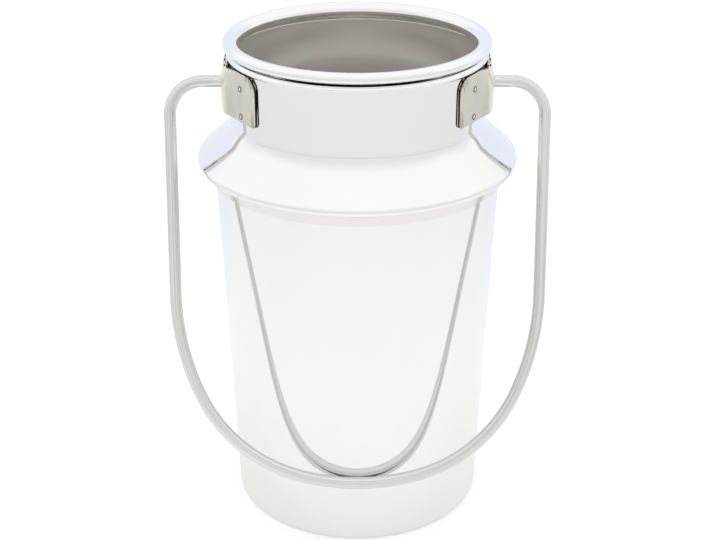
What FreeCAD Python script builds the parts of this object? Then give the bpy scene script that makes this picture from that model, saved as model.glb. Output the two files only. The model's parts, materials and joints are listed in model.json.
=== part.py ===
import FreeCAD, Part
import math
import os
from FreeCAD import Vector

# Stainless steel milk can with a swinging bail handle.
# Millimetres. +Z is up, the can stands on Z = 0 and its axis is the Z axis.
# The bail hangs in front, on the -Y side. The ears are on the -X and +X sides.

# --- driving sizes ---------------------------------------------------------
sheet = 0.8                   # wall of the body, the shoulder and the neck

base_radius = 65.0            # outside of the body at the floor
body_height = 181.7           # floor to the lower edge of the skirt
body_top_radius = 71.5        # outside of the body at that height
base_corner = 2.4             # rounding between base and wall
recess_width = 11.0           # flat standing ring and its slope
recess_rise = 1.6             # how far the middle of the base is raised
collar_start = 0.6            # skirt's lower edge up to the flare of the body
collar_flare = 2.0            # height of that flare, hidden by the skirt
collar_height = 2.8           # end of the body above it, along the skirt
collar_bend = 0.9
seam_clearance = 0.3          # between that collar and the skirt

skirt_stand = 2.5             # skirt's lower edge, out from the body
skirt_height = 6.0            # skirt below the shoulder bead
skirt_flare = 1.4             # how far the skirt widens over its height
skirt_bend = 1.5              # rounding between skirt and shoulder bead
bead_stand = 6.0              # shoulder bead, out from the skirt's lower edge
bead_radius = 2.7             # rounding of the shoulder bead
shoulder_slope = 42.4         # degrees above the horizontal
neck_radius = 63.0            # outside of the neck
neck_fillet = 12.0            # hollow between shoulder and neck
weld_rise = 6.0               # foot of the neck to the butt weld above the hollow

collar_stand = 1.3            # small bead under the rim, out from the neck
collar_drop = 2.0             # the same bead, down from the top of the neck
mouth_step = 5.3              # mouth, in from the outside of the neck
rim_stand = 2.6               # rolled rim, out from the neck
rim_height = 6.15             # top of the neck to the crown of the rim
roll_height = 4.7             # height of the roll itself
mouth_flare = 4.1             # rounding from the mouth up to the crown
roll_rounding = 2.3           # outer corner of the roll
curl_flat = 0.1               # straight bit between that corner and the tuck
curl_length = 3.8             # tucked end of the roll, measured inwards

ear_sheet = 0.9
ear_rise = 10.7               # foot of the neck to the lower edge of an ear
ear_height = 24.2
ear_head_gap = 1.1            # upper edge of an ear to the small bead
ear_clearance = 0.3           # ear flange to neck
ear_stand = 4.2               # outside of the strap, out from the neck
flange_end = 42.0             # degrees from the X axis to the ear's edge
crease_angle = 27.0           # where the flange leaves the neck
strap_half = 18.7             # from the middle of the strap to its bend
crease_bend = 1.6
strap_bend = 2.2
top_corner = 7.0              # rounded corners of the flanges
bottom_corner = 2.4
lean_rise = 14.0              # upright part of the strap
lean = 2.4                    # how far its upper edge leans to the neck
lean_curve = 99.0             # flatter curve of that edge

rod_radius = 3.0
hinge_rise = 9.9              # lower edge of an ear to the hinge
hole_clearance = 0.35         # around the rod in the ear
end_clearance = 0.8           # between the rod's end and the neck
leg_clearance = 9.88          # between a leg and the shoulder bead
end_bend = 16.0               # bend between rod end and leg
bail_length = 201.6           # hinge to the middle of the lowest bend
bottom_bend = 111.5           # radii of the arcs from the middle outwards,
middle_bend = 76.7            # all scaled by one factor, so that the legs
upper_bend = 123.7            # keep leg_clearance from the shoulder bead
bottom_turn = 15.69           # slope of the rod at the end of each arc
middle_turn = 64.24
leg_turn = 88.85
rest_gap = 0.3                # between the hanging bail and the body

# --- sizes that follow -----------------------------------------------------
half = sheet / 2
slope = math.radians(shoulder_slope)
body_taper = (body_top_radius - base_radius) / body_height
skirt_radius = body_top_radius + skirt_stand
flange_radius = skirt_radius + bead_stand
mouth_radius = neck_radius - mouth_step
rim_radius = neck_radius + rim_stand
skirt_top = body_height + skirt_height
bead_z = skirt_top + bead_radius
bead_reach = (bead_radius - half) * math.tan((math.pi / 2 - slope) / 2)
bead_corner_z = bead_z + bead_reach
neck_foot = bead_corner_z + (flange_radius - neck_radius) * math.tan(slope)
ear_bottom = neck_foot + ear_rise
ear_top = ear_bottom + ear_height
hinge_z = ear_bottom + hinge_rise
neck_top = ear_top + ear_head_gap + collar_drop
crown_z = neck_top + rim_height
flange_middle = neck_radius + ear_clearance + ear_sheet / 2
strap_middle = neck_radius + ear_stand - ear_sheet / 2
leg_reach = flange_radius + leg_clearance + rod_radius
skirt_low = Vector(skirt_radius - half, 0, body_height)
skirt_high = Vector(skirt_radius - half + skirt_flare, 0, skirt_top + half)


def unit(vector):
    return vector * (1.0 / vector.Length)


def polar(radius, degrees, z=0.0):
    angle = math.radians(degrees)
    return Vector(radius * math.cos(angle), radius * math.sin(angle), z)


def rounded_runs(points, radii):
    """Straight runs joined by arcs, as (start, end, centre or None)."""
    runs = []
    here = points[0]
    for before, corner, after, radius in zip(points, points[1:], points[2:], radii):
        back = unit(before - corner)
        ahead = unit(after - corner)
        opening = math.acos(back.dot(ahead))
        reach = radius / math.tan(opening / 2)
        centre = corner + unit(back + ahead) * (radius / math.sin(opening / 2))
        if (corner + back * reach - here).Length > 0.001:
            runs.append((here, corner + back * reach, None))
        runs.append((corner + back * reach, corner + ahead * reach, centre))
        here = corner + ahead * reach
    runs.append((here, points[-1], None))
    return runs


def arc_edge(start, end, centre):
    middle = centre + unit((start + end) * 0.5 - centre) * (start - centre).Length
    return Part.Arc(start, middle, end).toShape()


def run_edge(start, end, centre):
    if centre is None:
        return Part.LineSegment(start, end).toShape()
    return arc_edge(start, end, centre)


def beside(run, normal, distance):
    """The run moved sideways by the distance, to its left seen along normal."""
    start, end, centre = run
    if centre is None:
        step = unit(normal.cross(end - start)) * distance
        return start + step, end + step, None
    turns_left = normal.dot((start - centre).cross(end - centre)) > 0
    inwards = distance if turns_left else -distance
    scale = 1 - inwards / (start - centre).Length
    return centre + (start - centre) * scale, centre + (end - centre) * scale, centre


def strip_wire(runs, thickness, normal):
    """Closed outline of a bent strip whose middle line is given."""
    left = [beside(run, normal, thickness / 2) for run in runs]
    right = [beside(run, normal, -thickness / 2) for run in runs]
    edges = [run_edge(*run) for run in left]
    edges.append(Part.LineSegment(left[-1][1], right[-1][1]).toShape())
    edges += [run_edge(end, start, centre) for start, end, centre in reversed(right)]
    edges.append(Part.LineSegment(right[0][0], left[0][0]).toShape())
    return Part.Wire(edges)


def spun_sheet(profile):
    """Spin a bent sheet about the can's axis.

    The profile lists (radius, height, rounding) of its middle line."""
    points = [Vector(r, 0, z) for r, z, rounding in profile]
    radii = [rounding for r, z, rounding in profile[1:-1]]
    wire = strip_wire(rounded_runs(points, radii), sheet, Vector(0, -1, 0))
    return Part.Face(wire).revolve(Vector(0, 0, 0), Vector(0, 0, 1), 360)


def wall_radius(z):
    """Outside radius of the tapered body wall."""
    return base_radius + body_taper * z


def collar_point(z):
    """Point of the collar's middle line, which runs along the skirt's inside."""
    along = unit(skirt_high - skirt_low)
    inwards = Vector(-along.z, 0, along.x) * (sheet + seam_clearance)
    start = skirt_low + inwards
    return start + along * ((z - start.z) / along.z)


def make_body():
    """Base, tapered wall and the flared collar that the skirt laps over."""
    bend = base_corner - half
    ring = base_radius - recess_width
    flare_z = body_height + collar_start
    collar_low = collar_point(flare_z + collar_flare)
    collar_top = collar_point(flare_z + collar_flare + collar_height)
    return spun_sheet([
        (0, recess_rise + half, 0),
        (ring, recess_rise + half, bend),
        (ring + recess_rise, half, bend),
        (wall_radius(half) - half, half, bend),
        (wall_radius(flare_z) - half, flare_z, collar_bend),
        (collar_low.x, collar_low.z, collar_bend),
        (collar_top.x, collar_top.z, 0),
    ])


def make_shoulder():
    """Skirt, shoulder bead, shoulder and the hollow that leads into the neck."""
    bead_r = flange_radius - half
    neck_r = neck_radius - half
    length = (flange_radius - neck_radius) / math.cos(slope)
    turn = math.tan((math.pi / 2 - slope) / 2)
    hollow = min(neck_fillet + half, 0.9 * (length - bead_reach) / turn, 0.9 * weld_rise / turn)
    return spun_sheet([
        (skirt_low.x, skirt_low.z, 0),
        (skirt_high.x, skirt_high.z, skirt_bend),
        (bead_r, skirt_high.z, bead_radius - half),
        (bead_r, bead_corner_z, bead_radius - half),
        (neck_r, neck_foot, hollow),
        (neck_r, neck_foot + weld_rise, 0),
    ])


def make_neck():
    """Straight neck with the small bead and the rolled rim."""
    neck_r = neck_radius - half
    mouth_r = mouth_radius + half
    roll_r = rim_radius - half
    crown = crown_z - half
    tuck = crown_z - roll_height + half
    small_bead_z = neck_top - collar_drop
    return spun_sheet([
        (neck_r, neck_foot + weld_rise, 0),
        (neck_r, small_bead_z - 0.9, 0.8),
        (neck_r + collar_stand, small_bead_z, 0.55),
        (neck_r, neck_top - half, 0.7),
        (mouth_r, neck_top - half, 0.8),
        (mouth_r, crown, mouth_flare),
        (roll_r, crown, roll_rounding),
        (roll_r, tuck, roll_height - sheet - roll_rounding - curl_flat),
        (rim_radius - curl_length, tuck, 0),
    ])


def cross_tangent(centre_a, radius_a, centre_b, radius_b):
    """Points where a line touches two circles that lie on its two sides."""
    link = centre_b - centre_a
    along = unit(link)
    side = Vector(along.y, -along.x, 0)
    sine = (radius_a + radius_b) / link.Length
    out = along * sine + side * math.sqrt(1 - sine * sine)
    return centre_a + out * radius_a, centre_b - out * radius_b


def mirrored(run):
    start, end, centre = run
    flip = [None if p is None else Vector(p.x, -p.y, p.z) for p in (end, start, centre)]
    return tuple(flip)


def ear_wire(z, strap_x, curve):
    """Plan of a bent ear at height z.

    The strap's middle line crosses the X axis at strap_x and has the radius curve."""
    axis = Vector(0, 0, z)
    strap_axis = Vector(strap_x - curve, 0, z)
    turn = math.degrees(math.asin(strap_half / curve))
    crease = polar(flange_middle + crease_bend, crease_angle, z)
    corner = strap_axis + polar(curve - strap_bend, turn)
    strap_end = strap_axis + polar(curve, turn)
    leave, meet = cross_tangent(crease, crease_bend, corner, strap_bend)
    flange = (polar(flange_middle, flange_end, z), polar(flange_middle, crease_angle, z), axis)
    side = [flange, (flange[1], leave, crease), (leave, meet, None), (meet, strap_end, corner)]
    strap = (strap_end, Vector(strap_end.x, -strap_end.y, z), strap_axis)
    runs = side + [strap] + [mirrored(run) for run in reversed(side)]
    return strip_wire(runs, ear_sheet, Vector(0, 0, 1))


def corner_tool(z, upward, radius, sign):
    """What a rounded flange corner takes away. sign is +1 or -1 in Y."""
    turn = math.degrees(radius / flange_middle)
    box = Part.makeBox(12, radius + 2, radius + 2, Vector(-6, 0, 0))
    disc = Part.makeCylinder(radius, 14, Vector(-7, 0, 0), Vector(1, 0, 0))
    tool = box.cut(disc)
    if not upward:
        tool = tool.mirror(Vector(0, 0, 0), Vector(0, 0, 1))
    tool.rotate(Vector(0, 0, 0), Vector(0, 0, 1), flange_end - turn)
    tool.translate(polar(flange_middle, flange_end - turn, z - radius * upward))
    if not upward:
        tool.translate(Vector(0, 0, radius))
    if sign < 0:
        tool = tool.mirror(Vector(0, 0, 0), Vector(0, 1, 0))
    return tool


def make_ear():
    """Strap with two flanges, for the +X side."""
    levels = [(ear_bottom, strap_middle, strap_middle),
              (ear_bottom + lean_rise, strap_middle, strap_middle),
              (ear_top, strap_middle - lean, lean_curve)]
    ear = Part.makeLoft([ear_wire(*level) for level in levels], True, True)
    for sign in (1, -1):
        ear = ear.cut(corner_tool(ear_top, True, top_corner, sign))
        ear = ear.cut(corner_tool(ear_bottom, False, bottom_corner, sign))
    hole = Part.makeCylinder(rod_radius + hole_clearance, 20,
                             Vector(neck_radius, 0, hinge_z), Vector(1, 0, 0))
    return ear.cut(hole)


def hanging_tilt():
    """Angle between the hanging bail and the vertical, in radians."""
    tilt = 0.3
    reach = (rod_radius + rest_gap) / math.cos(math.atan(body_taper))
    for step in range(30):
        z = hinge_z - bail_length * math.cos(tilt)
        tilt = math.asin((wall_radius(z) + reach) / bail_length)
    return tilt


def bail_side():
    """Runs of one half of the bail as flat points: x, distance from hinge."""
    turns = [0.0] + [math.radians(t) for t in (bottom_turn, middle_turn, leg_turn)]
    radii = (bottom_bend, middle_bend, upper_bend)
    arcs = list(zip(radii, turns, turns[1:]))
    lean_out = 1 / math.tan(turns[-1])
    span = sum(r * (math.sin(stop) - math.sin(start)) for r, start, stop in arcs)
    rise = sum(r * (math.cos(start) - math.cos(stop)) for r, start, stop in arcs)
    scale = (leg_reach - bail_length * lean_out) / (span - rise * lean_out)
    here = Vector(0, bail_length, 0)
    runs = []
    for radius, start, stop in arcs:
        centre = here - Vector(math.sin(start), math.cos(start), 0) * radius * scale
        there = centre + Vector(math.sin(stop), math.cos(stop), 0) * radius * scale
        runs.append((here, there, centre))
        here = there
    knee = Vector(here.x + here.y * lean_out, 0, 0)
    tip = Vector(neck_radius + end_clearance, 0, 0)
    return runs + rounded_runs([here, knee, tip], [end_bend])


def make_bail():
    """Round rod swept along its centre line, hanging against the body."""
    tilt = hanging_tilt()
    right = bail_side()
    left = [tuple(None if p is None else Vector(-p.x, p.y, 0) for p in (end, start, centre))
            for start, end, centre in reversed(right)]

    def place(point):
        if point is None:
            return None
        return Vector(point.x, -point.y * math.sin(tilt), hinge_z - point.y * math.cos(tilt))

    edges = [run_edge(*[place(p) for p in run]) for run in left + right]
    path = Part.Wire(edges)
    start = edges[0].Vertexes[0].Point
    section = Part.Wire(Part.makeCircle(rod_radius, start, Vector(1, 0, 0)))
    return path.makePipeShell([section], True, False)


def save(node, shape):
    if shape.ShapeType == "Compound" and len(shape.Solids) == 1:
        shape = shape.Solids[0]
    if shape.Volume < 0:
        shape = shape.reversed()
    if len(shape.Solids) != 1 or not shape.isValid():
        raise ValueError(node + " is not one valid solid")
    shape.exportStep("parts/" + node + ".step")
    box = shape.BoundBox
    print(node, round(shape.Volume), "mm3", [round(v, 2) for v in
          (box.XMin, box.XMax, box.YMin, box.YMax, box.ZMin, box.ZMax)])


os.makedirs("parts", exist_ok=True)
ear = make_ear()
save("can_body", make_body())
save("shoulder", make_shoulder())
save("neck", make_neck())
save("ear_right", ear)
save("ear_left", ear.mirror(Vector(0, 0, 0), Vector(1, 0, 0)))
save("bail", make_bail())
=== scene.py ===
import json
import math

import bpy
from bpy.props import (FloatProperty, FloatVectorProperty, IntProperty, PointerProperty)
from mathutils import Matrix, Vector


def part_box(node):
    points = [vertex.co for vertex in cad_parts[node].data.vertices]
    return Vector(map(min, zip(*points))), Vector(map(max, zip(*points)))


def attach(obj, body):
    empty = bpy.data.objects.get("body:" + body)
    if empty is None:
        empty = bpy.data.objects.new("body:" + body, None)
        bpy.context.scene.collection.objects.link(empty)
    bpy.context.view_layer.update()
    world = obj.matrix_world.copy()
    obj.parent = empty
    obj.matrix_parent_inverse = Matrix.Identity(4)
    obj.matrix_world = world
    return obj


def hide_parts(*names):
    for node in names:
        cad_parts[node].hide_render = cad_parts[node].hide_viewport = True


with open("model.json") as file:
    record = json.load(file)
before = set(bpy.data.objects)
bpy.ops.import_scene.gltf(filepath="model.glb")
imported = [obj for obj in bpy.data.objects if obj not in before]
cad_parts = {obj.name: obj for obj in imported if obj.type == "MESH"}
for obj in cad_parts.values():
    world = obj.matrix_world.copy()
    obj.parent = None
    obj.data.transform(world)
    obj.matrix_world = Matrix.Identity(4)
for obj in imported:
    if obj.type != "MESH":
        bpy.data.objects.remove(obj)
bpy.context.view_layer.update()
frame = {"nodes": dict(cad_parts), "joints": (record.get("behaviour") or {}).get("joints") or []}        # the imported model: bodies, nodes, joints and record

bl_info = {
    "name": "Stainless Milk Can",
    "version": (1, 0, 0),
    "blender": (4, 5, 0),
    "location": "3D View > Sidebar > Milk Can",
    "description": "Spun and polished steel milk can with strap ears and a round bail",
    "category": "Object",
}

MM = 0.001

# fixed sizes of the sheet
FOOT_BEND = 2.4 * MM          # rounding of the foot and of the recess in the base
RECESS_WIDTH = 11.0 * MM      # base radius in to the recess
RECESS_HEIGHT = 1.6 * MM      # underside of the recess above the floor
COLLAR_START = 0.6 * MM       # skirt's lower edge up to the flare of the body
COLLAR_FLARE = 2.0 * MM       # height of that flare
COLLAR_TOP = 4.8 * MM         # end of the body above the start of the flare
COLLAR_BEND = 0.9 * MM
SEAM_GAP = 0.3 * MM           # between that collar and the skirt
SKIRT_BEND = 1.5 * MM
BEAD_BEND = 2.7 * MM          # rounding of the shoulder bead
SHOULDER_SLOPE = math.radians(42.4)
HOLLOW_BEND = 12.4 * MM       # rounding between shoulder and neck
NECK_HEIGHT = 38.0 * MM
SMALL_BEAD_DROP = 2.0 * MM    # small bead below the top of the neck
SMALL_BEAD_HALF = 0.9 * MM    # its lower edge below its middle
SMALL_BEAD_STAND = 1.3 * MM   # its reach out from the neck
RIM_HEIGHT = 6.15 * MM        # crown of the rim above the neck
ROLL_HEIGHT = 4.7 * MM        # rolled part of the rim
CURL_REACH = 3.8 * MM         # rim's outside in to the sheet's edge, under the roll
SMALL_BEAD_BENDS = (0.8 * MM, 0.55 * MM, 0.7 * MM)    # below it, at its crest and above it
MOUTH_BEND = 0.8 * MM         # rounding between the top of the neck and the mouth
ROLL_BENDS = (4.1 * MM, 2.3 * MM, 1.5 * MM)           # inside, outside and under the roll

# fixed sizes of the ears, welds and bail
FLANGE_FACE = 64.2 * MM       # radius of the flanges' outer face
STRAP_REACH = 21.5 * MM       # what is nearer to the middle in Y than this is the strap
STRAP_PRESS = 0.5 * MM        # how far the strap's top is pressed in to the neck
HEATED_RING = (0.84, 0.17)    # ring's radius and section, as shares of the weld radius
DOME_SHARE = 0.76             # dome's radius, the same way
DOME_FLATNESS = 0.22
BAIL_LENGTH = 201.6           # hinge to the middle of the bow, in mm
BAIL_TURNS = (0.0, 15.69, 64.24, 88.85)     # slope at the ends of its arcs, in degrees
BAIL_ARCS = (111.5, 76.7, 123.7)            # their radii, from the middle out, in mm
BAIL_KNEE = 16.0 * MM         # bend between a leg and its end
BAIL_TIP = 63.8 * MM          # distance of the rod's end from the can's axis

# how finely the pieces are drawn
ARC_STEP = math.radians(9)    # turn between two points of a rounded corner
ROD_STEP = 2.0                # degrees of bend between two rings of the rod
SAME_POINT = 1e-6             # vertices nearer than this are one, in metres
SEED_SIZE = 1e-5              # plane that a drawn line's first vertex is merged from
SMOOTH_SHEET = 35.0           # degrees below which an edge is shaded smooth
SMOOTH_STRAP = 30.0

# where one finish gives way to another, and where the flanges' painted shade starts
BASE_BELOW = 4.0 * MM         # the inside of the base lies below this
FACING_UP = 0.7               # least Z of a normal that faces up
LEVEL = 0.95                  # a face whose normal has more Z than this is level
# the flanges' painted shade fades in over this span
FLANGE_SHADE_FROM, FLANGE_SHADE_TO = 0.0205, 0.0218         # from strap to flange, in Y, in metres

# fixed places of the stage, in metres
FLOOR_SIZE = 6.0
LAMP_PLACE = (0.0, -0.35, 1.5)
LAMP_SIZE = 1.4
LAMP_TILT = math.radians(13.0)
CAMERA_PLACE = (0.0, -0.6629, 0.4397)
CAMERA_PITCH = 25.43          # degrees below the horizontal
CAMERA_SHIFT = 0.0008         # share of the sensor's width
NEAR, FAR = 0.15, 0.65        # floor near the can, and away from it

# light that the floor gives off, as the strength of its emission
FLOOR_LIFT = 0.32             # seen by the camera
MIRRORED_NEAR, MIRRORED_FAR = 0.2, 0.03     # seen in the metal


def sheet_size(name, description, default):
    """A length that the user can change."""
    return FloatProperty(name=name, description=description, default=default, min=0.0,
                         subtype="DISTANCE", unit="LENGTH")


def hex_colour(text):
    """sRGB hex to the linear values that sockets take."""
    values = [int(text[i:i + 2], 16) / 255 for i in (0, 2, 4)]
    return tuple(v / 12.92 if v <= 0.04045 else ((v + 0.055) / 1.055) ** 2.4 for v in values)


def colour(name, description, text):
    return FloatVectorProperty(name=name, description=description, subtype="COLOR", size=3,
                               default=hex_colour(text), min=0.0, max=1.0)


# --- settings ----------------------------------------------------------------
class ShellSettings(bpy.types.PropertyGroup):
    """Body, shoulder and neck, all spun from one gauge of sheet"""
    gauge: sheet_size("Sheet", "Thickness of the sheet", 0.8 * MM)
    base_r: sheet_size("Base radius", "Outside of the body at the floor", 65.0 * MM)
    body_h: sheet_size("Body height", "Floor to the lower edge of the skirt", 181.7 * MM)
    body_top_r: sheet_size("Body top radius", "Outside of the body under the skirt", 71.5 * MM)
    skirt_r: sheet_size("Skirt radius", "Outside of the skirt's lower edge", 74.0 * MM)
    skirt_h: sheet_size("Skirt height", "Skirt below the shoulder bead", 6.0 * MM)
    skirt_flare: sheet_size("Skirt flare", "How far the skirt widens upwards", 1.4 * MM)
    bead_r: sheet_size("Shoulder radius", "Outermost radius of the shoulder bead", 80.0 * MM)
    neck_r: sheet_size("Neck radius", "Outside of the neck", 63.0 * MM)
    mouth_r: sheet_size("Mouth radius", "Inside of the mouth", 57.7 * MM)
    rim_r: sheet_size("Rim radius", "Outside of the rolled rim", 65.6 * MM)
    steps: IntProperty(name="Spin steps", description="Faces around the can", default=256,
                       min=48, max=360)
    polish: colour("Polished steel", "Colour of the polished sheet", "F6F6F5")


class EarSettings(bpy.types.PropertyGroup):
    """Strap ears and the spot welds that hold them"""
    strip: colour("Strap steel", "Colour of the strap between its bends", "FBF3DE")
    # painted shade: the flanges' colour is a greyer copy of the strap's steel
    flange: colour("Flange steel", "Colour of the flanges, dulled by the weld heat", "DEDACC")
    strap_drop: sheet_size("Strap drop", "Top of the strap below the flanges", 1.8 * MM)
    weld_r: sheet_size("Weld radius", "Radius of a spot weld's dimple", 1.5 * MM)
    weld_turn: FloatProperty(name="Weld angle", description="From the middle of the ear",
                             default=math.radians(30.6), subtype="ANGLE", unit="ROTATION")
    weld_low: sheet_size("Lower weld", "Height of the lower welds", 220.4 * MM)
    weld_high: sheet_size("Upper weld", "Height of the upper welds", 234.0 * MM)


class BailSettings(bpy.types.PropertyGroup):
    """Round rod handle"""
    rod_r: sheet_size("Rod radius", "Radius of the bail's rod", 3.0 * MM)
    sides: IntProperty(name="Sides", description="Faces around the rod", default=40, min=12, max=64)
    steel: colour("Drawn steel", "Colour of the bail", "E7E7E6")


class StageSettings(bpy.types.PropertyGroup):
    """Floor, light and camera"""
    floor: colour("Floor", "Colour of the floor", "E4E4E4")
    lamp_power: FloatProperty(name="Lamp power", description="Power of the overhead softbox",
                              default=5.0, min=0.0, unit="POWER")
    lens: FloatProperty(name="Lens", description="Focal length of the camera", default=70.39,
                        min=10.0, unit="CAMERA")


# --- node and mesh helpers ---------------------------------------------------
def add_node(tree, kind, settings=None, **links):
    """Add a node. Settings are its properties; links are input names with values or sockets."""
    node = tree.nodes.new(kind)
    for key, value in (settings or {}).items():
        setattr(node, key, value)
    for key, value in links.items():
        socket = node.inputs[int(key[1:])] if key[0] == "i" and key[1:].isdigit() \
            else node.inputs[key.replace("_", " ")]
        if isinstance(value, bpy.types.NodeSocket):
            tree.links.new(value, socket)
        else:
            socket.default_value = value
    return node


def new_material(name):
    """An empty material with an output: returns the material and its tree."""
    material = bpy.data.materials.new(name)
    material.use_nodes = True
    material.node_tree.nodes.clear()
    return material, material.node_tree


def finish_material(tree, shader):
    add_node(tree, "ShaderNodeOutputMaterial", None, Surface=shader.outputs[0])


def brushed_metal(name, tint, rough, grain_axis, grain, spread, depth, rings=0.0, metal=1.0,
                  streaks=0.0, along_rod=False, flange_shade=None):
    """Metal with polishing lines.

    grain_axis is the coordinate that the lines are stacked along, grain their spacing in
    metres, spread how much the roughness varies and depth the height of the lines. rings is
    how much lines around the can draw the highlights out upwards and downwards. metal is the
    metallic share, less where residue dulls the sheet. streaks is how much darker the grooves
    of the lines are. along_rod runs the lines along a rod. The last argument is the tint of the
    painted shade where the strip is away from the middle in Y, on the flanges."""
    material, tree = new_material(name)
    coords = add_node(tree, "ShaderNodeTexCoord")
    stretch = [6.0, 6.0, 6.0]
    for axis in grain_axis:
        stretch["xyz".index(axis)] = 1.0 / grain
    mapped = add_node(tree, "ShaderNodeMapping", None, Vector=coords.outputs["Object"],
                      Scale=stretch)
    if along_rod:
        section = add_node(tree, "ShaderNodeAttribute", {"attribute_name": "section"})
        mapped = add_node(tree, "ShaderNodeVectorMath", {"operation": "MULTIPLY_ADD"},
                          i0=section.outputs["Vector"], i1=(1.0 / grain,) * 3,
                          i2=mapped.outputs[0])
    lines = add_node(tree, "ShaderNodeTexNoise", None, Vector=mapped.outputs[0], Scale=1.0,
                     Detail=3.0, Roughness=0.6)
    cloud = add_node(tree, "ShaderNodeTexNoise", None, Vector=coords.outputs["Object"],
                     Scale=22.0, Detail=2.0)
    low = tuple(c * 0.955 for c in tint) + (1.0,)
    tone = add_node(tree, "ShaderNodeMix", {"data_type": "RGBA"}, i0=cloud.outputs["Fac"],
                    i6=low, i7=tuple(tint) + (1.0,))
    if streaks:
        grooves = add_node(tree, "ShaderNodeMapRange", None, Value=lines.outputs["Fac"],
                           From_Min=0.35, From_Max=0.6, To_Min=1.0 - streaks, To_Max=1.0)
        tone = add_node(tree, "ShaderNodeMix", {"data_type": "RGBA", "blend_type": "MULTIPLY"},
                        i0=1.0, i6=tone.outputs[2], i7=grooves.outputs[0])
    # painted shade: away from the middle in Y, on the flanges, the strip's tint turns greyer
    if flange_shade:
        place = add_node(tree, "ShaderNodeSeparateXYZ", None, Vector=coords.outputs["Object"])
        aside = add_node(tree, "ShaderNodeMath", {"operation": "ABSOLUTE"},
                         i0=place.outputs["Y"])
        share = add_node(tree, "ShaderNodeMapRange", None, Value=aside.outputs[0],
                         From_Min=FLANGE_SHADE_FROM, From_Max=FLANGE_SHADE_TO)
        tone = add_node(tree, "ShaderNodeMix", {"data_type": "RGBA"}, i0=share.outputs[0],
                        i6=tone.outputs[2], i7=tuple(flange_shade) + (1.0,))
    roughness = add_node(tree, "ShaderNodeMapRange", None, Value=lines.outputs["Fac"],
                         To_Min=rough - spread, To_Max=rough + spread)
    bump = add_node(tree, "ShaderNodeBump", None, Height=lines.outputs["Fac"], Strength=0.35,
                    Distance=depth)
    shader = add_node(tree, "ShaderNodeBsdfPrincipled", None, Base_Color=tone.outputs[2],
                      Metallic=metal, Roughness=roughness.outputs[0],
                      Normal=bump.outputs[0])
    if rings:
        around = add_node(tree, "ShaderNodeTangent", {"direction_type": "RADIAL", "axis": "Z"})
        shader.inputs["Anisotropic"].default_value = rings
        shader.inputs["Anisotropic Rotation"].default_value = 0.25
        tree.links.new(around.outputs[0], shader.inputs["Tangent"])
    finish_material(tree, shader)
    return material


def deselect():
    if bpy.context.object and bpy.context.object.mode != "OBJECT":
        bpy.ops.object.mode_set(mode="OBJECT")
    bpy.ops.object.select_all(action="DESELECT")


def finish_piece(name, material, body, node_names, smooth=SMOOTH_SHEET):
    """Place in the mesh, smooth shading, material, body and the nodes it stands for."""
    bpy.ops.object.mode_set(mode="OBJECT")
    piece = bpy.context.object
    piece.name = name
    piece.data.name = name
    bpy.ops.object.transform_apply(location=True, rotation=True, scale=True)
    bpy.ops.object.shade_smooth_by_angle(angle=math.radians(smooth))
    piece.data.materials.clear()
    piece.data.materials.append(material)
    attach(piece, body)
    if node_names:
        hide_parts(*node_names)
    return piece


def apply_modifier(kind, **settings):
    piece = bpy.context.object
    modifier = piece.modifiers.new(kind.title(), kind)
    for key, value in settings.items():
        setattr(modifier, key, value)
    bpy.ops.object.modifier_apply(modifier=modifier.name)


def rounded_line(profile, turn_step):
    """Points of a line whose corners are arcs. profile lists (radius, height, rounding)."""
    corners = [Vector((r, 0.0, z)) for r, z, rounding in profile]
    points = [corners[0]]
    for index in range(1, len(corners) - 1):
        corner, rounding = corners[index], profile[index][2]
        back = (corners[index - 1] - corner).normalized()
        ahead = (corners[index + 1] - corner).normalized()
        opening = back.angle(ahead)
        centre = corner + (back + ahead).normalized() * (rounding / math.sin(opening / 2))
        reach = rounding / math.tan(opening / 2)
        start = corner + back * reach - centre
        turn = math.pi - opening
        steps = max(2, math.ceil(turn / turn_step))
        # the line arrives along -back, which start is never parallel to
        axis = start.cross(-back).normalized()
        for step in range(steps + 1):
            points.append(centre + Matrix.Rotation(turn * step / steps, 3, axis) @ start)
    points.append(corners[-1])
    kept = [points[0]]
    for point in points[1:]:
        if (point - kept[-1]).length > 2 * SAME_POINT:
            kept.append(point)
    return kept


def drawn_line(points):
    """A chain of edges: one vertex, extruded from point to point."""
    deselect()
    bpy.ops.mesh.primitive_plane_add(size=SEED_SIZE, location=points[0])
    bpy.ops.object.mode_set(mode="EDIT")
    bpy.ops.mesh.select_all(action="SELECT")
    bpy.ops.mesh.merge(type="CENTER")
    for here, there in zip(points, points[1:]):
        bpy.ops.mesh.extrude_region_move(TRANSFORM_OT_translate={"value": there - here})


def spun_sheet(profile, gauge, steps):
    """Draw the sheet's middle line, spin it about the can's axis and give it its gauge."""
    drawn_line(rounded_line(profile, ARC_STEP))
    bpy.ops.mesh.select_all(action="SELECT")
    bpy.ops.mesh.spin(steps=steps, angle=math.tau, center=(0, 0, 0), axis=(0, 0, 1))
    bpy.ops.mesh.select_all(action="SELECT")
    bpy.ops.mesh.remove_doubles(threshold=SAME_POINT)
    bpy.ops.mesh.normals_make_consistent(inside=False)
    bpy.ops.object.mode_set(mode="OBJECT")
    apply_modifier("SOLIDIFY", thickness=gauge, offset=0.0, use_even_offset=True)


def skirt_ends(s):
    """Lower and upper end of the skirt's middle line."""
    half = s.gauge / 2
    return (Vector((s.skirt_r - half, 0.0, s.body_h)),
            Vector((s.skirt_r - half + s.skirt_flare, 0.0, s.body_h + s.skirt_h + half)))


def line_inside(piece, top):
    """Give the faces that look inwards, up to the height top, the finish of the inside."""
    piece.data.materials.append(INSIDE())
    for face in piece.data.polygons:
        inwards = face.normal.x * face.center.x + face.normal.y * face.center.y < 0
        floor = face.normal.z > FACING_UP and face.center.z < BASE_BELOW
        if face.center.z < top and (floor or (inwards and abs(face.normal.z) < LEVEL)):
            face.material_index = 1


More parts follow.
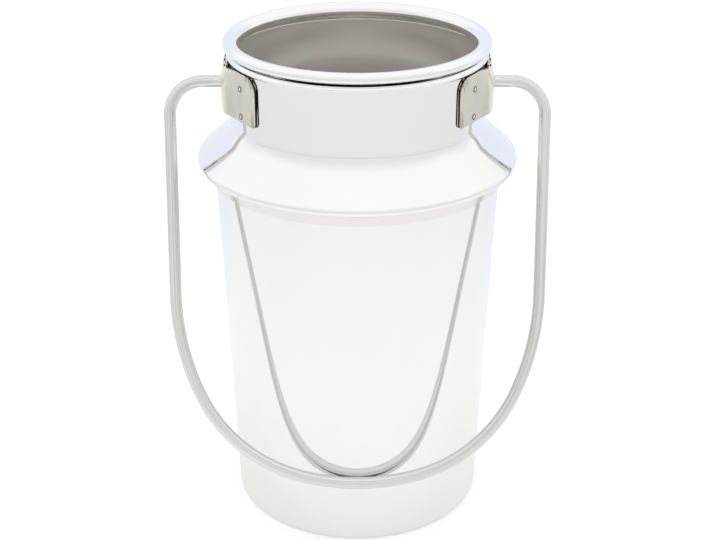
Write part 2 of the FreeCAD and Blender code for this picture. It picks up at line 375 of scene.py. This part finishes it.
# --- the pieces --------------------------------------------------------------
class MILKCAN_OT_body(bpy.types.Operator):
    """Spin the tapered body with its base and collar"""
    bl_idname = "milkcan.body"
    bl_label = "Body"

    def execute(self, context):
        s = context.scene.milk_shell
        half = s.gauge / 2
        taper = (s.body_top_r - s.base_r) / s.body_h
        bend = FOOT_BEND - half
        ring = s.base_r - RECESS_WIDTH
        flare = s.body_h + COLLAR_START
        # the collar runs along the skirt's inside, a seam's gap off it
        low, high = skirt_ends(s)
        along = (high - low).normalized()
        inside = low + Vector((-along.z, 0.0, along.x)) * (s.gauge + SEAM_GAP)
        collar = [inside + along * ((z - inside.z) / along.z)
                  for z in (flare + COLLAR_FLARE, flare + COLLAR_TOP)]
        profile = [
            (0.0, RECESS_HEIGHT + half, 0),
            (ring, RECESS_HEIGHT + half, bend),
            (ring + RECESS_HEIGHT, half, bend),
            (s.base_r + taper * half - half, half, bend),
            (s.base_r + taper * flare - half, flare, COLLAR_BEND),
            (collar[0].x, collar[0].z, COLLAR_BEND),
            (collar[1].x, collar[1].z, 0),
        ]
        spun_sheet(profile, s.gauge, s.steps)
        piece = finish_piece("body_shell", POLISHED(), "can", ["can_body"])
        line_inside(piece, s.body_h)
        return {"FINISHED"}


class MILKCAN_OT_upper(bpy.types.Operator):
    """Spin the skirt, shoulder, neck and rolled rim in one sheet"""
    bl_idname = "milkcan.upper"
    bl_label = "Shoulder, neck and rim"

    def execute(self, context):
        s = context.scene.milk_shell
        half = s.gauge / 2
        low, high = skirt_ends(s)
        outer = s.bead_r - half
        neck = s.neck_r - half
        skirt_top = s.body_h + s.skirt_h
        bead = BEAD_BEND - half
        corner = skirt_top + BEAD_BEND + bead * math.tan((math.pi / 2 - SHOULDER_SLOPE) / 2)
        foot = corner + (s.bead_r - s.neck_r) * math.tan(SHOULDER_SLOPE)
        neck_top = foot + NECK_HEIGHT
        crown = neck_top + RIM_HEIGHT - half
        tuck = crown - ROLL_HEIGHT + s.gauge
        small = neck_top - SMALL_BEAD_DROP
        profile = [
            (low.x, low.z, 0),
            (high.x, high.z, SKIRT_BEND),
            (outer, skirt_top + half, bead),
            (outer, corner, bead),
            (neck, foot, HOLLOW_BEND),
            (neck, small - SMALL_BEAD_HALF, SMALL_BEAD_BENDS[0]),
            (neck + SMALL_BEAD_STAND, small, SMALL_BEAD_BENDS[1]),
            (neck, neck_top - half, SMALL_BEAD_BENDS[2]),
            (s.mouth_r + half, neck_top - half, MOUTH_BEND),
            (s.mouth_r + half, crown, ROLL_BENDS[0]),
            (s.rim_r - half, crown, ROLL_BENDS[1]),
            (s.rim_r - half, tuck, ROLL_BENDS[2]),
            (s.rim_r - CURL_REACH, tuck, 0),
        ]
        spun_sheet(profile, s.gauge, s.steps)
        piece = finish_piece("upper_shell", POLISHED(), "can", ["shoulder", "neck"])
        line_inside(piece, neck_top)
        piece.data.materials.append(BAND())
        for face in piece.data.polygons:
            if face.center.z < skirt_top and face.material_index == 0:
                face.material_index = 2
        return {"FINISHED"}


class MILKCAN_OT_ears(bpy.types.Operator):
    """Finish the two strap ears: top pressed in to the neck, with painted shade on the flanges'
    edges and along the top, for the shadow in the gaps at the neck
    """
    bl_idname = "milkcan.ears"
    bl_label = "Strap ears"

    def execute(self, context):
        s = context.scene.milk_ear
        for side in ("left", "right"):
            node = frame["nodes"]["ear_" + side]
            deselect()
            piece = bpy.data.objects.new("strap_" + side, node.data.copy())
            context.collection.objects.link(piece)
            piece.matrix_world = node.matrix_world
            context.view_layer.objects.active = piece
            piece.select_set(True)
            bpy.ops.object.mode_set(mode="EDIT")
            bpy.ops.mesh.select_all(action="SELECT")
            bpy.ops.mesh.remove_doubles(threshold=2 * SAME_POINT)
            bpy.ops.mesh.select_all(action="DESELECT")
            bpy.ops.object.mode_set(mode="OBJECT")
            # the strap is cut a little lower than the flanges and pressed in to the neck
            top = max(v.co.z for v in piece.data.vertices) - 0.1 * MM
            for v in piece.data.vertices:
                v.select = v.co.z > top and abs(v.co.y) < STRAP_REACH
            bpy.ops.object.mode_set(mode="EDIT")
            sign = 1.0 if side == "right" else -1.0
            bpy.ops.transform.translate(value=(-STRAP_PRESS * sign, 0.0, -s.strap_drop))
            bpy.ops.object.mode_set(mode="OBJECT")
            finish_piece("strap_" + side, SATIN(), "can", ["ear_" + side], SMOOTH_STRAP)
            piece.data.materials.append(PAINTED_EDGE_SHADE())
            # painted shade: the flanges' edges and the top faces get a near-black finish, for the
            # shadow in the gaps at the neck
            for face in piece.data.polygons:
                out = Vector((face.center.x, face.center.y, 0.0)).normalized()
                edge = abs(face.normal.dot(out)) < 0.5
                if edge and (abs(out.y) > 0.5 or face.normal.z > FACING_UP):
                    face.material_index = 1
        return {"FINISHED"}


class MILKCAN_OT_welds(bpy.types.Operator):
    """Press the spot welds of the ears: a heat-tinted ring around a shallow dome"""
    bl_idname = "milkcan.welds"
    bl_label = "Spot welds"

    def execute(self, context):
        s = context.scene.milk_ear
        deselect()
        bpy.ops.mesh.primitive_torus_add(major_segments=32, minor_segments=10,
                                         major_radius=s.weld_r * HEATED_RING[0],
                                         minor_radius=s.weld_r * HEATED_RING[1],
                                         rotation=(0.0, math.pi / 2, 0.0))
        ring = context.object
        ring.data.materials.append(HEATED())
        bpy.ops.mesh.primitive_uv_sphere_add(segments=32, ring_count=16,
                                             radius=s.weld_r * DOME_SHARE)
        dome = context.object
        dome.scale = (DOME_FLATNESS, 1.0, 1.0)
        dome.data.materials.append(POLISHED())
        ring.select_set(True)
        context.view_layer.objects.active = ring
        bpy.ops.object.join()
        bpy.ops.object.transform_apply(location=True, rotation=True, scale=True)
        bpy.ops.object.shade_smooth()
        marks = []
        for middle in (0.0, math.pi):
            for turn in (-s.weld_turn, s.weld_turn):
                for height in (s.weld_low, s.weld_high):
                    mark = bpy.data.objects.new("spot_weld", ring.data.copy())
                    context.collection.objects.link(mark)
                    mark.matrix_world = (Matrix.Rotation(middle + turn, 4, "Z")
                                         @ Matrix.Translation((FLANGE_FACE, 0.0, height)))
                    marks.append(mark)
        bpy.data.objects.remove(ring)
        deselect()
        for mark in marks:
            mark.select_set(True)
        context.view_layer.objects.active = marks[0]
        bpy.ops.object.join()
        bpy.ops.object.transform_apply(location=True, rotation=True, scale=True)
        marks[0].name = "spot_welds"
        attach(marks[0], "can")
        return {"FINISHED"}


def bail_runs():
    """Half of the bail in its own plane: (start, end, centre or None), x and depth."""
    turns = [math.radians(t) for t in BAIL_TURNS]
    here = Vector((0.0, BAIL_LENGTH)) * MM
    runs = []
    for radius, start, stop in zip(BAIL_ARCS, turns, turns[1:]):
        centre = here - Vector((math.sin(start), math.cos(start))) * radius * MM
        there = centre + Vector((math.sin(stop), math.cos(stop))) * radius * MM
        runs.append((here, there, centre))
        here = there
    knee = Vector((here.x + here.y * math.tan(math.pi / 2 - turns[-1]), 0.0))
    back = (here - knee).normalized()
    ahead = Vector((-1.0, 0.0))
    opening = back.angle(ahead)
    reach = BAIL_KNEE / math.tan(opening / 2)
    centre = knee + (back + ahead).normalized() * (BAIL_KNEE / math.sin(opening / 2))
    runs.append((here, knee + back * reach, None))
    runs.append((knee + back * reach, knee + ahead * reach, centre))
    runs.append((knee + ahead * reach, Vector((BAIL_TIP, 0.0)), None))
    return runs


class MILKCAN_OT_bail(bpy.types.Operator):
    """Draw the rod's section along the bail, straight by extrusion and bent by spinning"""
    bl_idname = "milkcan.bail"
    bl_label = "Bail"

    def execute(self, context):
        s = context.scene.milk_bail
        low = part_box("bail")[0]
        hinge = frame["joints"][0]["pos_m"][2]
        depth = BAIL_LENGTH * MM
        # the lowest point of the rod gives the angle at which the bail hangs
        tilt = math.acos((hinge - s.rod_r - low[2]) / depth)
        down = Vector((0.0, -math.sin(tilt), -math.cos(tilt)))
        across = Vector((1.0, 0.0, 0.0))
        origin = Vector((0.0, 0.0, hinge))
        normal = across.cross(down)

        def place(flat, side):
            return origin + across * flat.x * side + down * flat.y

        half = bail_runs()
        runs = [(b, a, c, -1) for a, b, c in reversed(half)] + [(a, b, c, 1) for a, b, c in half]
        deselect()
        start = place(runs[0][0], -1)
        bpy.ops.mesh.primitive_circle_add(vertices=s.sides, radius=s.rod_r, location=start,
                                          rotation=(0.0, math.pi / 2, 0.0))
        bpy.ops.object.transform_apply(location=True, rotation=True, scale=True)
        bpy.ops.object.mode_set(mode="EDIT")
        bpy.ops.mesh.select_all(action="SELECT")
        for first, last, middle, side in runs:
            a, b = place(first, side), place(last, side)
            if middle is None:
                bpy.ops.mesh.extrude_region_move(TRANSFORM_OT_translate={"value": b - a})
                continue
            c = place(middle, side)
            angle = (a - c).angle(b - c)
            axis = (a - c).cross(b - c).normalized()
            # spin turns left-handed about its axis
            bpy.ops.mesh.spin(steps=max(4, math.ceil(math.degrees(angle) / ROD_STEP)), angle=-angle,
                              center=c, axis=axis)
        bpy.ops.mesh.select_all(action="SELECT")
        bpy.ops.mesh.remove_doubles(threshold=SAME_POINT)
        bpy.ops.mesh.fill_holes(sides=0)
        bpy.ops.mesh.normals_make_consistent(inside=False)
        piece = finish_piece("bail_rod", DRAWN(), "handle", ["bail"])
        # where a point sits on the rod's section, for lines that run along the rod
        centre = origin + down * depth / 2
        around = piece.data.attributes.new("section", "FLOAT_VECTOR", "POINT")
        for vertex, value in zip(piece.data.vertices, around.data):
            rise = vertex.normal.dot(normal)
            flat = vertex.normal - normal * rise
            out = math.copysign(flat.length, flat.dot(vertex.co - centre))
            value.vector = Vector((rise, out, 0.0)) * s.rod_r
        return {"FINISHED"}


# --- the stage ---------------------------------------------------------------
class MILKCAN_OT_stage(bpy.types.Operator):
    """Lay the floor and set up the light and the camera"""
    bl_idname = "milkcan.stage"
    bl_label = "Stage"

    def execute(self, context):
        s = context.scene.milk_stage
        deselect()
        bpy.ops.mesh.primitive_plane_add(size=FLOOR_SIZE, location=(0.0, 0.0, 0.0))
        floor = context.object
        floor.name = "floor"
        floor.data.materials.append(floor_paint(s.floor))
        white_room()
        bpy.ops.object.light_add(type="AREA", location=LAMP_PLACE,
                                 rotation=(LAMP_TILT, 0.0, 0.0))
        lamp = context.object
        lamp.data.shape = "SQUARE"
        lamp.data.size = LAMP_SIZE
        lamp.data.energy = s.lamp_power
        lamp.visible_glossy = False
        camera = bpy.data.cameras.new("camera")
        camera.lens = s.lens
        camera.sensor_width = 36.0
        camera.shift_x = CAMERA_SHIFT
        view = bpy.data.objects.new("camera", camera)
        view.location = CAMERA_PLACE
        view.rotation_euler = (math.radians(90.0 - CAMERA_PITCH), 0.0, 0.0)
        context.collection.objects.link(view)
        context.scene.camera = view
        context.scene.view_settings.view_transform = "Standard"
        return {"FINISHED"}


def floor_paint(tint):
    """Matt white paint. It shows white to the camera and in the metal, and keeps the shadow."""
    material, tree = new_material("matt white paint, rolled")
    coords = add_node(tree, "ShaderNodeTexCoord")
    mottle = add_node(tree, "ShaderNodeTexNoise", None, Vector=coords.outputs["Object"],
                      Scale=40.0, Detail=3.0)
    tone = add_node(tree, "ShaderNodeMix", {"data_type": "RGBA"}, i0=mottle.outputs["Fac"],
                    i6=tuple(c * 0.98 for c in tint) + (1.0,), i7=tuple(tint) + (1.0,))
    paint = add_node(tree, "ShaderNodeBsdfDiffuse", None, Color=tone.outputs[2])
    path = add_node(tree, "ShaderNodeLightPath")
    away = add_node(tree, "ShaderNodeVectorMath", {"operation": "LENGTH"},
                    i0=coords.outputs["Object"])
    near = add_node(tree, "ShaderNodeMapRange", None, Value=away.outputs["Value"],
                    From_Min=NEAR, From_Max=FAR, To_Min=MIRRORED_NEAR,
                    To_Max=MIRRORED_FAR)
    mirrored = add_node(tree, "ShaderNodeMath", {"operation": "MULTIPLY"},
                        i0=path.outputs["Is Glossy Ray"], i1=near.outputs[0])
    lift = add_node(tree, "ShaderNodeMath", {"operation": "MULTIPLY_ADD"},
                    i0=path.outputs["Is Camera Ray"], i1=FLOOR_LIFT, i2=mirrored.outputs[0])
    glow = add_node(tree, "ShaderNodeEmission", None, Color=(1.0, 1.0, 1.0, 1.0),
                    Strength=lift.outputs[0])
    both = add_node(tree, "ShaderNodeAddShader", None, i0=paint.outputs[0], i1=glow.outputs[0])
    # the floor behind carries the cool horizon on, so that the metal shows no line there
    spot = add_node(tree, "ShaderNodeSeparateXYZ", None, Vector=coords.outputs["Object"])
    behind = add_node(tree, "ShaderNodeMapRange", None, Value=spot.outputs["Y"],
                      From_Min=0.12, From_Max=0.4)
    share = add_node(tree, "ShaderNodeMath", {"operation": "MULTIPLY"},
                     i0=path.outputs["Is Glossy Ray"], i1=behind.outputs[0])
    horizon = add_node(tree, "ShaderNodeEmission", None, Strength=1.04,
                       Color=hex_colour("EBF0FB") + (1.0,))
    ground = add_node(tree, "ShaderNodeMixShader", None, i0=share.outputs[0],
                      i1=both.outputs[0], i2=horizon.outputs[0])
    finish_material(tree, ground)
    return material


def white_room():
    """A white room: plain light on matt surfaces, white behind and in the metal."""
    world = bpy.data.worlds.new("white room")
    bpy.context.scene.world = world
    world.use_nodes = True
    tree = world.node_tree
    tree.nodes.clear()
    coords = add_node(tree, "ShaderNodeTexCoord")
    way = add_node(tree, "ShaderNodeSeparateXYZ", None, Vector=coords.outputs["Generated"])
    # in the metal the room is white, but for a quieter wall behind the camera, up to the
    # ceiling, and a cool horizon at the back
    ceiling = add_node(tree, "ShaderNodeMapRange", None, Value=way.outputs["Z"],
                       From_Min=0.2, From_Max=0.9, To_Min=0.86, To_Max=1.05)
    front = add_node(tree, "ShaderNodeMapRange", None, Value=way.outputs["Y"],
                     From_Min=-0.5, From_Max=-0.1, To_Min=1.0, To_Max=0.0)
    aside = add_node(tree, "ShaderNodeMapRange", None, Value=way.outputs["Z"],
                     From_Min=0.0, From_Max=0.45, To_Min=0.87, To_Max=1.05)
    rear = add_node(tree, "ShaderNodeMapRange", None, Value=way.outputs["Y"],
                    From_Min=0.2, From_Max=0.5)
    sides = add_node(tree, "ShaderNodeMix", {"data_type": "FLOAT"}, i0=rear.outputs[0],
                     i2=aside.outputs[0], i3=1.04)
    wall = add_node(tree, "ShaderNodeMix", {"data_type": "FLOAT"}, i0=front.outputs[0],
                    i2=sides.outputs[0], i3=ceiling.outputs[0])
    low = add_node(tree, "ShaderNodeMapRange", None, Value=way.outputs["Z"], From_Min=0.5,
                   From_Max=0.3)
    behind = add_node(tree, "ShaderNodeMapRange", None, Value=way.outputs["Y"],
                      From_Min=0.5, From_Max=0.7)
    cool = add_node(tree, "ShaderNodeMath", {"operation": "MULTIPLY"}, i0=low.outputs[0],
                    i1=behind.outputs[0])
    tint = add_node(tree, "ShaderNodeMix", {"data_type": "RGBA"}, i0=cool.outputs[0],
                    i6=(1.0, 1.0, 1.0, 1.0), i7=hex_colour("EBF0FB") + (1.0,))
    path = add_node(tree, "ShaderNodeLightPath")
    shiny = add_node(tree, "ShaderNodeMix", {"data_type": "FLOAT"},
                     i0=path.outputs["Is Glossy Ray"], i2=0.95, i3=wall.outputs[0])
    level = add_node(tree, "ShaderNodeMix", {"data_type": "FLOAT"},
                     i0=path.outputs["Is Camera Ray"], i2=shiny.outputs[0], i3=1.0)
    shade = add_node(tree, "ShaderNodeMix", {"data_type": "RGBA"},
                     i0=path.outputs["Is Glossy Ray"], i6=(1.0, 1.0, 1.0, 1.0),
                     i7=tint.outputs[2])
    back = add_node(tree, "ShaderNodeBackground", None, Color=shade.outputs[2],
                    Strength=level.outputs[0])
    add_node(tree, "ShaderNodeOutputWorld", None, Surface=back.outputs[0])


# --- finishes ----------------------------------------------------------------
MADE = {}


def once(name, maker):
    if name not in MADE:
        MADE[name] = maker()
    return MADE[name]


def POLISHED():
    """Clear reflections with faint rings around the can, from the polishing wheel."""
    tint = bpy.context.scene.milk_shell.polish
    return once("polished", lambda: brushed_metal(
        "304 stainless sheet, mirror polished", tint, 0.06, "z", 0.0006, 0.025, 1.5e-6))


def INSIDE():
    """Even, quiet greys in the mouth: brushed around, not buffed."""
    return once("inside", lambda: brushed_metal(
        "304 stainless sheet, brushed in the lathe", hex_colour("F9F6F1"), 0.13, "z", 0.0012,
        0.05, 3e-6, rings=0.8, metal=0.7))


def BAND():
    """A quiet grey band under the shoulder bead, where the wheel does not reach the skirt."""
    return once("band", lambda: brushed_metal(
        "304 stainless sheet, rolled satin", hex_colour("ECEBE8"), 0.16, "z", 0.0005, 0.06, 4e-6,
        rings=0.6))


def SATIN():
    """Quiet cream steel, ground satin, with painted shade on the flanges: they take a greyer tint.
    """
    s = bpy.context.scene.milk_ear
    return once("satin", lambda: brushed_metal(
        "304 stainless strip, satin ground", s.strip, 0.30, "z", 0.0004, 0.07, 5e-6,
        flange_shade=s.flange))


def PAINTED_EDGE_SHADE():
    """Painted shade: a dark line on the flanges' edges and along the top of the ears, for the shadow
    in the gaps at the neck.
    """
    return once("sheared", lambda: brushed_metal(
        "304 stainless strip, painted edge shade", hex_colour("2A2825"), 0.45, "xy", 0.0003, 0.1, 8e-6))


def HEATED():
    """Brown-black rings that mark each spot weld."""
    return once("heated", lambda: brushed_metal(
        "304 stainless strip, weld heat tint", hex_colour("4A3D36"), 0.28, "z", 0.0005, 0.06,
        3e-6))


def DRAWN():
    """Long soft grey highlights along the rod, from drawing it through a die."""
    tint = bpy.context.scene.milk_bail.steel
    return once("drawn", lambda: brushed_metal(
        "304 stainless rod, drawn and buffed", tint, 0.10, "", 0.0009, 0.05, 4e-6,
        streaks=0.22, along_rod=True))


# --- panel and registration --------------------------------------------------
class MILKCAN_PT_panel(bpy.types.Panel):
    """Builds the milk can piece by piece"""
    bl_idname = "MILKCAN_PT_panel"
    bl_label = "Milk Can"
    bl_space_type = "VIEW_3D"
    bl_region_type = "UI"
    bl_category = "Milk Can"

    def draw(self, context):
        for group in (context.scene.milk_shell, context.scene.milk_ear,
                      context.scene.milk_bail, context.scene.milk_stage):
            box = self.layout.box()
            for key in group.bl_rna.properties.keys():
                if key not in ("rna_type", "name"):
                    box.prop(group, key)
        for operator in OPERATORS:
            self.layout.operator(operator.bl_idname)


OPERATORS = (MILKCAN_OT_body, MILKCAN_OT_upper, MILKCAN_OT_ears, MILKCAN_OT_welds,
             MILKCAN_OT_bail, MILKCAN_OT_stage)
CLASSES = (ShellSettings, EarSettings, BailSettings, StageSettings) + OPERATORS + (MILKCAN_PT_panel,)


def register():
    for item in CLASSES:
        bpy.utils.register_class(item)
    bpy.types.Scene.milk_shell = PointerProperty(type=ShellSettings)
    bpy.types.Scene.milk_ear = PointerProperty(type=EarSettings)
    bpy.types.Scene.milk_bail = PointerProperty(type=BailSettings)
    bpy.types.Scene.milk_stage = PointerProperty(type=StageSettings)


def unregister():
    for name in ("milk_shell", "milk_ear", "milk_bail", "milk_stage"):
        delattr(bpy.types.Scene, name)
    for item in reversed(CLASSES):
        bpy.utils.unregister_class(item)


def main():
    register()
    for operator in OPERATORS:
        getattr(bpy.ops.milkcan, operator.bl_idname.split(".")[1])()


if __name__ == "__main__":
    main()
